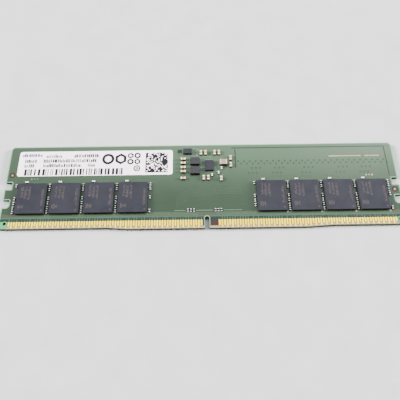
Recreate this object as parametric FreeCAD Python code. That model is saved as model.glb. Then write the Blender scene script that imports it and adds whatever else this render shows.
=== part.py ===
import FreeCAD, Part
import math
import os

# Desktop memory module: a long printed board with gold edge contacts, eight memory chips in one row,
# a small power supply in the middle and a paper label. It lies on its back, component side up.
#
# Frame: X along the board's length, Y from the contact edge towards the top edge, Z up out of the
# component side. Origin: centre of the board's outline, on the plane that the back rests on.
# Lengths are millimetres. "up" is a distance from the lowest contact edge towards the top edge.

os.makedirs("parts", exist_ok=True)

# ---------------------------------------------------------------- board outline
BOARD_LENGTH = 133.35
BOARD_HEIGHT = 31.25
BOARD_THICKNESS = 1.27
HALF_LENGTH = BOARD_LENGTH / 2
TOP_CORNER_RADIUS = 1.4
LOW_CORNER_RADIUS = 0.3
# The contact edge is lowest in the middle and steps back near both ends.
EDGE_STEP = 0.5
STEP_LEFT = (-31.3, -24.4)
STEP_RIGHT = (34.3, 42.5)
EDGE_CHAMFER = 0.12
# The key notch that lets the module into its slot one way round.
KEY_X = 1.43
KEY_WIDTH = 1.5
KEY_DEPTH = 4.15
# Two latch notches in each short side.
NOTCH_DEPTH = 2.25
LOW_NOTCH = (8.1, 10.9)
HIGH_NOTCH = (14.8, 17.4)
NOTCH_CORNER_RADIUS = 0.2
LOW_NOTCH_LEAD_RADIUS = 1.0
# A small unplated tooling hole in each lower corner.
TOOLING_X = 64.75
TOOLING_UP = 2.4
TOOLING_RADIUS = 0.55
TOOLING_RING_RADIUS = 0.85

# ---------------------------------------------------------------- board layers
SKIN = 0.03
LAMINATE_TOP = BOARD_THICKNESS - SKIN
CORE_LOW = 0.42
CORE_HIGH = 0.82
PLANE_THICKNESS = 0.035
PLANE_INSET = 0.8
MASK_INSET = 0.35
MASK_UP = 3.05

# ---------------------------------------------------------------- edge contacts
CONTACT_PITCH = 0.85
CONTACT_WIDTH = 0.6
CONTACT_TOP = 2.95
CONTACT_CORNER = 0.12
CONTACT_GAP_LONG = 0.3
CONTACT_GAP_SHORT = 0.95
LEFT_FIRST_X = -63.325
LEFT_COUNT = 75
RIGHT_FIRST_X = 5.525
RIGHT_COUNT = 69

# ---------------------------------------------------------------- memory chips
CHIP_WIDTH = 9.6
CHIP_DEPTH = 11.0
CHIP_CENTRE_UP = 11.0
CHIP_PITCH = 11.3
CHIPS_PER_SIDE = 4
LEFT_CHIP_X = -57.05
RIGHT_CHIP_X = 23.05
BALL_STANDOFF = 0.3
BALL_RADIUS = 0.22
BALL_PITCH = 0.8
BALL_ROWS = 13
BALL_COLUMNS = (-4, -3, -2, 2, 3, 4)
SUBSTRATE_THICKNESS = 0.18
MOULD_THICKNESS = 0.62
MOULD_EDGE_RADIUS = 0.06
DIE_WIDTH = 6.6
DIE_DEPTH = 8.4
DIE_THICKNESS = 0.25
PIN_ONE_RADIUS = 0.3
PIN_ONE_DEPTH = 0.03
PIN_ONE_FROM_CORNER = (0.85, 1.1)

# ---------------------------------------------------------------- chip capacitors and resistors
# Case sizes as (length, width, height, terminal length).
CASE_0402 = (1.0, 0.5, 0.5, 0.25)
CASE_0603 = (1.6, 0.8, 0.8, 0.35)
CASE_0402_RESISTOR = (1.0, 0.5, 0.35, 0.22)
TERMINAL_THICKNESS = 0.025
# Columns of bypass capacitors stand beside the chips, at these distances above the contact edge.
COLUMN_UPS = (6.25, 7.8, 9.45, 11.15, 14.4, 15.95)
COLUMN_PITCH = CHIP_PITCH
LEFT_COLUMN_X = -62.72
RIGHT_COLUMN_X = 17.55
COLUMNS_PER_SIDE = 5
# Places left empty, as (column, level) counted from the left and from the contact edge.
LEFT_EMPTY = ((0, 4), (4, 1), (4, 2))
RIGHT_EMPTY = ((0, 0), (0, 4), (4, 1), (4, 2))
ABOVE_CHIP_OFFSET_X = -2.35
ABOVE_CHIP_UP = 17.3
RESISTOR_UP = 6.25
RESISTOR_XS = (-4.85, -3.85, -2.85, 4.3, 5.25, 6.2)
SIDE_RESISTOR = (62.75, 12.75)
BULK_ROW_X = -6.42
BULK_ROW_UPS = (25.4, 23.8, 22.1, 20.55, 17.95)
BULK_UPRIGHT = ((-0.25, 27.85), (1.35, 27.85), (4.5, 27.85), (6.0, 27.85), (0.6, 18.1), (2.15, 18.1),
                (6.55, 17.7), (10.0, 25.65), (10.0, 22.95))
CENTRE_BYPASS = ((6.75, 21.8), (5.7, 20.05), (3.43, 19.2))

# ---------------------------------------------------------------- power supply and hub
INDUCTOR_HEIGHT = 1.2
LARGE_INDUCTOR = (3.2, 2.7)
LARGE_INDUCTOR_X = -2.35
LARGE_INDUCTOR_UPS = (20.75, 24.35)
SMALL_INDUCTOR = (2.5, 2.0)
SMALL_INDUCTOR_AT = (7.45, 23.85)
INDUCTOR_EDGE_RADIUS = 0.12
WRAP_LENGTH = 0.45
FOOT_LENGTH = 0.675
FOOT_THICKNESS = 0.06
WINDING_WALL = 0.28
WINDING_HEIGHT = 0.55
WINDING_BASE = 0.4
WINDING_MARGIN = 0.3
WINDING_OUTER_RADIUS = 0.5
WINDING_INNER_RADIUS = 0.22
LEAD_WIDTH = 0.35
PMIC_SIZE = (2.9, 3.85)
PMIC_AT = (2.6, 22.78)
PMIC_HEIGHT = 0.75
PMIC_PADS = (7, 9)
PMIC_PITCH = 0.4
HUB_SIZE = (3.0, 2.0)
HUB_AT = (-4.9, 28.45)
HUB_HEIGHT = 0.75
HUB_PADS = (4, 0)
HUB_PITCH = 0.65
PAD_WIDTH = 0.22
PAD_LENGTH = 0.35
PAD_THICKNESS = 0.15
PACKAGE_EDGE_RADIUS = 0.05

# ---------------------------------------------------------------- bare metal on the front, and the label
FIDUCIALS = ((-64.9, 20.15), (64.85, 13.0))
FIDUCIAL_RADIUS = 0.5
FIDUCIAL_OPENING_RADIUS = 1.0
DOT_RADIUS = 0.25
TEST_DOT_UP = 18.6
TEST_DOT_XS = (-58.1, -57.1, -56.1, 56.1, 57.1, 58.1)
CHIP_DOT_OFFSET_X = 5.0
CHIP_DOT_UP = 5.2
CENTRE_DOTS = ((-1.4, 29.5), (-2.6, 29.85), (-1.7, 27.2))
# A row of plain copper bars along the top right, as (first x, bar count).
BAR_GROUPS = ((44.6, 15), (57.1, 7))
BAR_PITCH = 0.75
BAR_SIZE = (0.5, 0.38)
BAR_UP = 26.1
LABEL_SIZE = (53.3, 9.6)
LABEL_CENTRE = (-36.75, 24.45)
LABEL_CORNER = 0.9
LABEL_THICKNESS = 0.1


def at(x, up, z):
    """A point from its x, its distance above the contact edge and its height."""
    return FreeCAD.Vector(x, up - BOARD_HEIGHT / 2, z)


def save(node, solids):
    """Write one node, made of one solid or of several separate ones."""
    shape = solids[0] if len(solids) == 1 else Part.makeCompound(solids)
    shape.exportStep("parts/" + node + ".step")
    volume = sum(solid.Volume for solid in shape.Solids)
    print(f"{node:28s} solids {len(shape.Solids):4d}  volume {volume:10.3f}  valid {shape.isValid()}")


def block(x, up, z, width, depth, height):
    """A box centred on (x, up) and standing on z."""
    return Part.makeBox(width, depth, height, at(x - width / 2, up - depth / 2, z))


def disc(x, up, z, radius, height):
    return Part.makeCylinder(radius, height, at(x, up, z))


def outline_wire(corners, z):
    """A closed wire through (x, up, radius) corners, with a tangent arc at each corner that has a radius."""
    count = len(corners)
    points = [at(x, up, z) for x, up, radius in corners]
    starts = []
    ends = []
    edges = []
    for i, corner in enumerate(corners):
        back = (points[i - 1] - points[i]).normalize()
        ahead = (points[(i + 1) % count] - points[i]).normalize()
        radius = corner[2]
        half_angle = back.getAngle(ahead) / 2
        reach = radius / math.tan(half_angle)
        starts.append(points[i] + back * reach)
        ends.append(points[i] + ahead * reach)
        if radius > 0:
            bisector = (back + ahead).normalize()
            middle = points[i] + bisector * (radius / math.sin(half_angle) - radius)
            edges.append(Part.Arc(starts[i], middle, ends[i]).toShape())
    for i in range(count):
        start = ends[i]
        end = starts[(i + 1) % count]
        if start.distanceToPoint(end) > 1e-6:
            edges.append(Part.LineSegment(start, end).toShape())
    return Part.Wire(Part.__sortEdges__(edges))


def rounded_plate(x, up, z, width, depth, radius, height):
    """A plate with rounded corners, centred on (x, up)."""
    corners = [
        (x - width / 2, up - depth / 2, radius),
        (x + width / 2, up - depth / 2, radius),
        (x + width / 2, up + depth / 2, radius),
        (x - width / 2, up + depth / 2, radius),
    ]
    return Part.Face(outline_wire(corners, z)).extrude(FreeCAD.Vector(0, 0, height))


def side_corners(side):
    """The corners up one short side, from the contact edge to the top edge."""
    outer = side * HALF_LENGTH
    inner = side * (HALF_LENGTH - NOTCH_DEPTH)
    return [
        (outer, EDGE_STEP, LOW_CORNER_RADIUS),
        (outer, LOW_NOTCH[0], 0),
        (inner, LOW_NOTCH[0], LOW_NOTCH_LEAD_RADIUS),
        (inner, LOW_NOTCH[1], NOTCH_CORNER_RADIUS),
        (outer, LOW_NOTCH[1], 0),
        (outer, HIGH_NOTCH[0], 0),
        (inner, HIGH_NOTCH[0], NOTCH_CORNER_RADIUS),
        (inner, HIGH_NOTCH[1], NOTCH_CORNER_RADIUS),
        (outer, HIGH_NOTCH[1], 0),
        (outer, BOARD_HEIGHT, TOP_CORNER_RADIUS),
    ]


def board_corners():
    """The whole outline, anticlockwise from the left end of the contact edge."""
    key_left = KEY_X - KEY_WIDTH / 2
    key_right = KEY_X + KEY_WIDTH / 2
    contact_edge = [
        (STEP_LEFT[0], EDGE_STEP, 0),
        (STEP_LEFT[1], 0, 0),
        (key_left, 0, 0),
        (key_left, KEY_DEPTH, KEY_WIDTH / 2),
        (key_right, KEY_DEPTH, KEY_WIDTH / 2),
        (key_right, 0, 0),
        (STEP_RIGHT[0], 0, 0),
        (STEP_RIGHT[1], EDGE_STEP, 0),
    ]
    left = side_corners(-1)
    return [left[0]] + contact_edge + side_corners(1) + left[:0:-1]


def board_slab(low, high, inset=0.0):
    """The board's outline, drawn in by inset, between two heights."""
    wire = outline_wire(board_corners(), low)
    if inset:
        wire = wire.makeOffset2D(-inset)
    return Part.Face(wire).extrude(FreeCAD.Vector(0, 0, high - low))


def masked_slab(low, high):
    """The part of the board that is covered in solder mask."""
    above_contacts = block(0, MASK_UP + BOARD_HEIGHT / 2, low, BOARD_LENGTH, BOARD_HEIGHT, high - low)
    return board_slab(low, high, MASK_INSET).common(above_contacts)


def tooling_holes(radius):
    return [disc(side * TOOLING_X, TOOLING_UP, -1, radius, BOARD_THICKNESS + 2) for side in (-1, 1)]


def edge_up(x):
    """How far the contact edge lies above its lowest line at x."""
    left = (STEP_LEFT[1] - x) / (STEP_LEFT[1] - STEP_LEFT[0])
    right = (x - STEP_RIGHT[0]) / (STEP_RIGHT[1] - STEP_RIGHT[0])
    return EDGE_STEP * min(1.0, max(0.0, left, right))


def in_blocks(layer):
    """A board layer as blocks that meet face to face in line with the notches' walls. Each block is close to
    convex, so that the space in the notches stays open to whatever the blocks are wrapped in."""
    inner = HALF_LENGTH - NOTCH_DEPTH
    walls = [-HALF_LENGTH, -inner, KEY_X - KEY_WIDTH / 2, KEY_X + KEY_WIDTH / 2, inner, HALF_LENGTH]
    blocks = []
    for low, high in zip(walls, walls[1:]):
        stretch = block((low + high) / 2, BOARD_HEIGHT / 2, 0, high - low, BOARD_HEIGHT, BOARD_THICKNESS)
        blocks += layer.common(stretch).Solids
    return blocks


def contact_edges(solid, z):
    """The straight edges along the contact edge at one height, to be chamfered."""
    found = []
    for edge in solid.Edges:
        first, last = edge.Vertexes[0].Point, edge.Vertexes[-1].Point
        level = abs(first.z - z) < 1e-6 and abs(last.z - z) < 1e-6
        low = max(first.y, last.y) < EDGE_STEP + 0.01 - BOARD_HEIGHT / 2
        if level and low and edge.Length > 1.0:
            found.append(edge)
    return found


def laminates():
    """Three layers of glass laminate with a copper plane between each two."""
    power = board_slab(CORE_LOW - PLANE_THICKNESS, CORE_LOW, PLANE_INSET)
    ground = board_slab(CORE_HIGH, CORE_HIGH + PLANE_THICKNESS, PLANE_INSET)
    keep_out = tooling_holes(TOOLING_RADIUS + MASK_INSET)
    power = power.cut(keep_out)
    ground = ground.cut(keep_out)
    back = board_slab(SKIN, CORE_LOW)
    back = back.makeChamfer(EDGE_CHAMFER, contact_edges(back, SKIN))
    # A bare rim round the back's solder mask stands level with it, and is what the board lies on.
    rim_height = BOARD_HEIGHT - MASK_UP
    rim = board_slab(0, SKIN).common(
        block(0, MASK_UP + rim_height / 2, 0, BOARD_LENGTH, rim_height, SKIN))
    back = back.fuse(rim.cut(masked_slab(0, SKIN))).removeSplitter()
    front = board_slab(CORE_HIGH, LAMINATE_TOP)
    front = front.makeChamfer(EDGE_CHAMFER, contact_edges(front, LAMINATE_TOP))
    holes = tooling_holes(TOOLING_RADIUS)
    save("laminate_back", in_blocks(back.cut([power] + holes)))
    save("laminate_core", in_blocks(board_slab(CORE_LOW, CORE_HIGH).cut(holes)))
    save("laminate_front", in_blocks(front.cut([ground] + holes)))
    save("power_plane", [power])
    save("ground_plane", [ground])


def bare_metal(z, height):
    """Every piece of copper that shows through the front mask, other than the contacts."""
    pieces = [disc(x, up, z, FIDUCIAL_RADIUS, height) for x, up in FIDUCIALS]
    dots = [(x, TEST_DOT_UP) for x in TEST_DOT_XS] + list(CENTRE_DOTS)
    dots += [(x + CHIP_DOT_OFFSET_X, CHIP_DOT_UP) for x in chip_xs()]
    pieces += [disc(x, up, z, DOT_RADIUS, height) for x, up in dots]
    for first, count in BAR_GROUPS:
        for i in range(count):
            pieces.append(block(first + i * BAR_PITCH, BAR_UP, z, BAR_SIZE[0], BAR_SIZE[1], height))
    return pieces


def masks_and_bare_metal():
    openings = bare_metal(LAMINATE_TOP - 1, 2)
    openings += [disc(x, up, 0, FIDUCIAL_OPENING_RADIUS, 2) for x, up in FIDUCIALS]
    openings += tooling_holes(TOOLING_RING_RADIUS)
    save("solder_mask_front", [masked_slab(LAMINATE_TOP, BOARD_THICKNESS).cut(openings)])
    save("solder_mask_back", [masked_slab(0, SKIN).cut(tooling_holes(TOOLING_RING_RADIUS))])
    save("bare_pads", bare_metal(LAMINATE_TOP, SKIN))


def contact_row(z):
    """All the gold contacts on one face. Every second one reaches nearer the edge."""
    contacts = []
    for first, count in ((LEFT_FIRST_X, LEFT_COUNT), (RIGHT_FIRST_X, RIGHT_COUNT)):
        for i in range(count):
            x = first + i * CONTACT_PITCH
            gap = CONTACT_GAP_LONG if i % 2 else CONTACT_GAP_SHORT
            low = edge_up(x) + gap
            depth = CONTACT_TOP - low
            contacts.append(rounded_plate(x, low + depth / 2, z, CONTACT_WIDTH, depth, CONTACT_CORNER, SKIN))
    return contacts


def chip_xs():
    """The centres of the memory chips, from left to right."""
    left = [LEFT_CHIP_X + i * CHIP_PITCH for i in range(CHIPS_PER_SIDE)]
    right = [RIGHT_CHIP_X + i * CHIP_PITCH for i in range(CHIPS_PER_SIDE)]
    return left + right


def top_edges(solid):
    top = solid.BoundBox.ZMax
    return [e for e in solid.Edges if all(abs(v.Point.z - top) < 1e-6 for v in e.Vertexes)]


def memory_chip(number, x):
    """One chip: solder balls, a thin substrate, the silicon die and the moulding over it."""
    balls = []
    flat_angle = math.degrees(math.asin(BALL_STANDOFF / 2 / BALL_RADIUS))
    for row in range(BALL_ROWS):
        up = CHIP_CENTRE_UP + (row - (BALL_ROWS - 1) / 2) * BALL_PITCH
        for column in BALL_COLUMNS:
            centre = at(x + column * BALL_PITCH, up, BOARD_THICKNESS + BALL_STANDOFF / 2)
            upright = FreeCAD.Vector(0, 0, 1)
            balls.append(Part.makeSphere(BALL_RADIUS, centre, upright, -flat_angle, flat_angle))
    substrate_z = BOARD_THICKNESS + BALL_STANDOFF
    mould_z = substrate_z + SUBSTRATE_THICKNESS
    substrate = block(x, CHIP_CENTRE_UP, substrate_z, CHIP_WIDTH, CHIP_DEPTH, SUBSTRATE_THICKNESS)
    die = block(x, CHIP_CENTRE_UP, mould_z, DIE_WIDTH, DIE_DEPTH, DIE_THICKNESS)
    mould = block(x, CHIP_CENTRE_UP, mould_z, CHIP_WIDTH, CHIP_DEPTH, MOULD_THICKNESS)
    mould = mould.makeFillet(MOULD_EDGE_RADIUS, top_edges(mould))
    pin_one_x = x + CHIP_WIDTH / 2 - PIN_ONE_FROM_CORNER[0]
    pin_one_up = CHIP_CENTRE_UP - CHIP_DEPTH / 2 + PIN_ONE_FROM_CORNER[1]
    dimple_z = mould_z + MOULD_THICKNESS - PIN_ONE_DEPTH
    dimple = disc(pin_one_x, pin_one_up, dimple_z, PIN_ONE_RADIUS, 1)
    name = "memory_chip_" + str(number)
    save(name + "_balls", balls)
    save(name + "_substrate", [substrate])
    save(name + "_die", [die])
    save(name + "_moulding", [mould.cut([die, dimple])])


def chip_part(case, x, up, upright):
    """A chip capacitor or resistor: its body and its two wrapped metal terminals."""
    length, width, height, terminal = case
    t = TERMINAL_THICKNESS
    z = BOARD_THICKNESS
    body = block(0, 0, z + t, length - 2 * t, width - 2 * t, height - 2 * t)
    ends = []
    for side in (-1, 1):
        cap = block(side * (length - terminal) / 2, 0, z, terminal, width, height)
        ends.append(cap.cut(body))
    placed = [body] + ends
    for solid in placed:
        if upright:
            solid.rotate(at(0, 0, 0), FreeCAD.Vector(0, 0, 1), 90)
        solid.translate(FreeCAD.Vector(x, up, 0))
    return body, ends


def save_chip_parts(node, parts):
    """Write one kind of chip part as two nodes, its bodies and its terminals."""
    save(node + "_bodies", [body for body, ends in parts])
    save(node + "_terminals", [end for body, ends in parts for end in ends])


def capacitor_columns():
    parts = []
    for first, empty in ((LEFT_COLUMN_X, LEFT_EMPTY), (RIGHT_COLUMN_X, RIGHT_EMPTY)):
        for column in range(COLUMNS_PER_SIDE):
            for level, up in enumerate(COLUMN_UPS):
                if (column, level) not in empty:
                    parts.append(chip_part(CASE_0402, first + column * COLUMN_PITCH, up, True))
    return parts


def small_parts():
    bypass = capacitor_columns()
    bypass += [chip_part(CASE_0402, x + ABOVE_CHIP_OFFSET_X, ABOVE_CHIP_UP, False) for x in chip_xs()]
    bypass += [chip_part(CASE_0402, x, up, True) for x, up in CENTRE_BYPASS]
    save_chip_parts("bypass_capacitor", bypass)
    bulk = [chip_part(CASE_0603, BULK_ROW_X, up, False) for up in BULK_ROW_UPS]
    bulk += [chip_part(CASE_0603, x, up, True) for x, up in BULK_UPRIGHT]
    save_chip_parts("bulk_capacitor", bulk)
    resistor_places = [(x, RESISTOR_UP) for x in RESISTOR_XS] + [SIDE_RESISTOR]
    resistors = [chip_part(CASE_0402_RESISTOR, x, up, True) for x, up in resistor_places]
    save_chip_parts("resistor", resistors)


def winding(x, up, width, depth):
    """A flat rectangular coil with a lead at each end that runs down to the terminal there."""
    z = BOARD_THICKNESS + WINDING_BASE
    outer_width = width - 2 * WINDING_MARGIN
    outer_depth = depth - 2 * WINDING_MARGIN
    inner_width = outer_width - 2 * WINDING_WALL
    inner_depth = outer_depth - 2 * WINDING_WALL
    coil = rounded_plate(x, up, z, outer_width, outer_depth, WINDING_OUTER_RADIUS, WINDING_HEIGHT)
    space = rounded_plate(x, up, z, inner_width, inner_depth, WINDING_INNER_RADIUS, WINDING_HEIGHT)
    coil = coil.cut(space)
    foot_top = BOARD_THICKNESS + FOOT_THICKNESS
    for side in (-1, 1):
        lead_x = x + side * (outer_width - WINDING_WALL) / 2
        coil = coil.fuse(block(lead_x, up, foot_top, WINDING_WALL, LEAD_WIDTH, z - foot_top))
    return coil.removeSplitter()


def inductor(x, up, size, wrapped):
    """A moulded power inductor: its core, its winding and its two terminals. The terminals are wrapped
    round the ends or, if not wrapped, are feet under them."""
    width, depth = size
    core = block(x, up, BOARD_THICKNESS, width, depth, INDUCTOR_HEIGHT)
    core = core.makeFillet(INDUCTOR_EDGE_RADIUS, top_edges(core))
    length = WRAP_LENGTH if wrapped else FOOT_LENGTH
    height = INDUCTOR_HEIGHT if wrapped else FOOT_THICKNESS
    terminals = []
    for side in (-1, 1):
        terminal_x = x + side * (width - length) / 2
        terminals.append(block(terminal_x, up, BOARD_THICKNESS, length, depth, height).common(core))
    coil = winding(x, up, width, depth)
    if wrapped:
        # The wrapped terminals are thin, so the middle of each end belongs to the core.
        inner = block(x, up, BOARD_THICKNESS + FOOT_THICKNESS, width - 2 * FOOT_THICKNESS,
                      depth - 2 * FOOT_THICKNESS, INDUCTOR_HEIGHT - 2 * FOOT_THICKNESS)
        terminals = [terminal.cut(inner) for terminal in terminals]
    return core.cut(terminals + [coil]), coil, terminals


def inductors():
    made = [inductor(LARGE_INDUCTOR_X, up, LARGE_INDUCTOR, False) for up in LARGE_INDUCTOR_UPS]
    made.append(inductor(SMALL_INDUCTOR_AT[0], SMALL_INDUCTOR_AT[1], SMALL_INDUCTOR, True))
    for name, (core, coil, terminals) in zip(("lower", "upper", "right"), made):
        save("inductor_" + name + "_core", [core])
    save("inductor_windings", [coil for core, coil, terminals in made])
    save("inductor_terminals", [end for core, coil, terminals in made for end in terminals])


def flat_package(node, centre, size, height, pads, pitch):
    """A leadless package: a moulded body with metal pads let into its underside."""
    x, up = centre
    width, depth = size
    z = BOARD_THICKNESS
    metal = []
    along, aside = pads
    for side in (-1, 1):
        for i in range(along):
            pad_x = x + (i - (along - 1) / 2) * pitch
            pad_up = up + side * (depth - PAD_LENGTH) / 2
            metal.append(block(pad_x, pad_up, z, PAD_WIDTH, PAD_LENGTH, PAD_THICKNESS))
        for i in range(aside):
            pad_up = up + (i - (aside - 1) / 2) * pitch
            pad_x = x + side * (width - PAD_LENGTH) / 2
            metal.append(block(pad_x, pad_up, z, PAD_LENGTH, PAD_WIDTH, PAD_THICKNESS))
    centre_margin = 2 * (PAD_LENGTH + PAD_WIDTH)
    metal.append(block(x, up, z, width - centre_margin, depth - centre_margin, PAD_THICKNESS))
    body = block(x, up, z, width, depth, height)
    body = body.makeFillet(PACKAGE_EDGE_RADIUS, top_edges(body))
    save(node + "_body", [body.cut(metal)])
    save(node + "_pads", metal)


def main():
    laminates()
    masks_and_bare_metal()
    save("contacts_front", contact_row(LAMINATE_TOP))
    save("contacts_back", contact_row(0))
    for number, x in enumerate(chip_xs(), start=1):
        memory_chip(number, x)
    small_parts()
    inductors()
    flat_package("power_controller", PMIC_AT, PMIC_SIZE, PMIC_HEIGHT, PMIC_PADS, PMIC_PITCH)
    flat_package("management_hub", HUB_AT, HUB_SIZE, HUB_HEIGHT, HUB_PADS, HUB_PITCH)
    label = rounded_plate(LABEL_CENTRE[0], LABEL_CENTRE[1], BOARD_THICKNESS, LABEL_SIZE[0], LABEL_SIZE[1],
                          LABEL_CORNER, LABEL_THICKNESS)
    save("label", [label])


main()
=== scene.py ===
import math
import random

import bmesh
import bpy
from mathutils import Euler, Matrix, Vector


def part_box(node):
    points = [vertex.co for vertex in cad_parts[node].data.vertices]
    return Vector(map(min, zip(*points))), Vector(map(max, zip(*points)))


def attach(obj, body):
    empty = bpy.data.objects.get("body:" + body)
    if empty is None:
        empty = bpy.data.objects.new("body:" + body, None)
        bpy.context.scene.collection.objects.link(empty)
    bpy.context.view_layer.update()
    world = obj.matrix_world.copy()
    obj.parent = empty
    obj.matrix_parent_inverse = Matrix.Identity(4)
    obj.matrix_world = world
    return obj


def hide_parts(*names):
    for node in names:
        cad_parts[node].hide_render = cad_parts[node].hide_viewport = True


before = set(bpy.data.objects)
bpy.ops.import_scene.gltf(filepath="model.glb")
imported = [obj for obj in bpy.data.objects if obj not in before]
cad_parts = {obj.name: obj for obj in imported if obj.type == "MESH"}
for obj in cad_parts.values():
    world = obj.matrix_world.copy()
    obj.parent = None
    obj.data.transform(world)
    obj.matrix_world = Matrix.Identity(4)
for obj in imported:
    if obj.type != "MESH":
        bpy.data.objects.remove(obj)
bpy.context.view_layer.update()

# A desktop memory module lying on its back, with its contact edge towards the camera. Lengths are
# metres, as in the frame, and MM turns a length said in millimetres into one. Names that end in _mm
# hold millimetres: x_mm is measured from the board's middle, and up_mm from the contact edge.
MM = 0.001

EDGE_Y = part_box("laminate_core")[0].y
BOARD_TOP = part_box("solder_mask_front")[1].z
LABEL_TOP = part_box("label")[1].z
CHIPS = [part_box(f"memory_chip_{number}_moulding") for number in range(1, 9)]
KEY_X = 1.43 * MM
KEY_HALF_WIDTH = 0.75 * MM
# The strip along the contact edge that the contacts stand on, which the lacquer leaves bare.
STRIP_TOP_UP = 4.0
STRIP_END_X = 63.8 * MM


def up(up_mm):
    """The y of a line that lies up_mm above the contact edge."""
    return EDGE_Y + up_mm * MM


def on_board(x_mm, up_mm, z=BOARD_TOP):
    """A place x_mm right of the board's middle and up_mm above its contact edge."""
    return Vector((x_mm * MM, up(up_mm), z))


# ---------------------------------------------------------------- camera, light and floor

CAMERA_PLACE_MM = Vector((-1.29, -64.80, 134.21))
CAMERA_TURN_DEGREES = (23.979, 0.158, -0.813)
CAMERA_LENS = 39.27


def make_camera():
    """Looks down at the module from the contact edge's side."""
    data = bpy.data.cameras.new("camera")
    data.lens = CAMERA_LENS
    data.clip_start = 5 * MM
    camera = bpy.data.objects.new("camera", data)
    camera.location = CAMERA_PLACE_MM * MM
    camera.rotation_euler = Euler([math.radians(angle) for angle in CAMERA_TURN_DEGREES])
    bpy.context.scene.collection.objects.link(camera)
    bpy.context.scene.camera = camera


def place_light(data, position, target, color):
    data.color = color
    light = bpy.data.objects.new(data.name, data)
    light.location = position
    light.rotation_euler = (Vector(target) - Vector(position)).to_track_quat("-Z", "Y").to_euler()
    bpy.context.scene.collection.objects.link(light)
    return light


def soft_panel(name, position, target, width, depth, watts, color):
    """A rectangle of light that faces target, and is mirrored in glossy surfaces."""
    data = bpy.data.lights.new(name, "AREA")
    data.shape = "RECTANGLE"
    data.size = width
    data.size_y = depth
    data.energy = watts
    place_light(data, position, target, color)


def far_lamp(name, position, spread_degrees, strength, color):
    """A wide lamp far away, which lights the whole table evenly and isn't mirrored in glossy surfaces."""
    data = bpy.data.lights.new(name, "SUN")
    data.angle = math.radians(spread_degrees)
    data.energy = strength
    place_light(data, position, (0, 0, 0), color).visible_glossy = False


def make_room():
    """A dim bluish room, which the camera sees as a pale backdrop."""
    world = bpy.data.worlds.new("room")
    world.use_nodes = True
    nodes = world.node_tree.nodes
    links = world.node_tree.links
    seen = nodes.new("ShaderNodeLightPath").outputs["Is Camera Ray"]
    chosen = nodes.new("ShaderNodeMixShader")
    links.new(seen, chosen.inputs[0])
    backdrop = nodes.new("ShaderNodeBackground")
    for socket, light, color, strength in ((1, nodes["Background"], (0.92, 0.96, 1.0), 0.20),
                                           (2, backdrop, (0.98, 0.99, 1.0), 2.2)):
        light.inputs["Color"].default_value = (*color, 1)
        light.inputs["Strength"].default_value = strength
        links.new(light.outputs[0], chosen.inputs[socket])
    links.new(chosen.outputs[0], nodes["World Output"].inputs["Surface"])
    bpy.context.scene.world = world


def make_table():
    bm = bmesh.new()
    bmesh.ops.create_grid(bm, x_segments=1, y_segments=1, size=6)
    mesh = bpy.data.meshes.new("table")
    bm.to_mesh(mesh)
    bm.free()
    table = bpy.data.objects.new("table", mesh)
    bpy.context.scene.collection.objects.link(table)
    look = Look("table_surface", Roughness=0.9, Specular_IOR_Level=0.1)
    grain = look.noise(9.0, detail=3)
    look.color(look.ramp(grain, (0.42, 0.43, 0.43), (0.46, 0.47, 0.47)))
    mesh.materials.append(look.material)


def make_studio():
    """A wide soft panel behind the module, a window to its right, and a far lamp at each side."""
    make_room()
    soft_panel("panel", (-0.02, 0.50, 0.62), (0, 0, 0), 1.4, 0.75, 10.6, (0.95, 0.98, 1.0))
    soft_panel("window", (0.40, 0.50, 0.62), (0.04, 0, 0), 0.30, 0.30, 2.6, (1.0, 1.0, 0.98))
    far_lamp("lamp_left", (-1.15, 0.15, 0.60), 18, 14.3, (1.0, 0.985, 0.965))
    far_lamp("lamp_right", (1.15, 0.12, 0.42), 18, 15.5, (1.0, 0.985, 0.965))
    make_table()


# ---------------------------------------------------------------- materials

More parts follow.
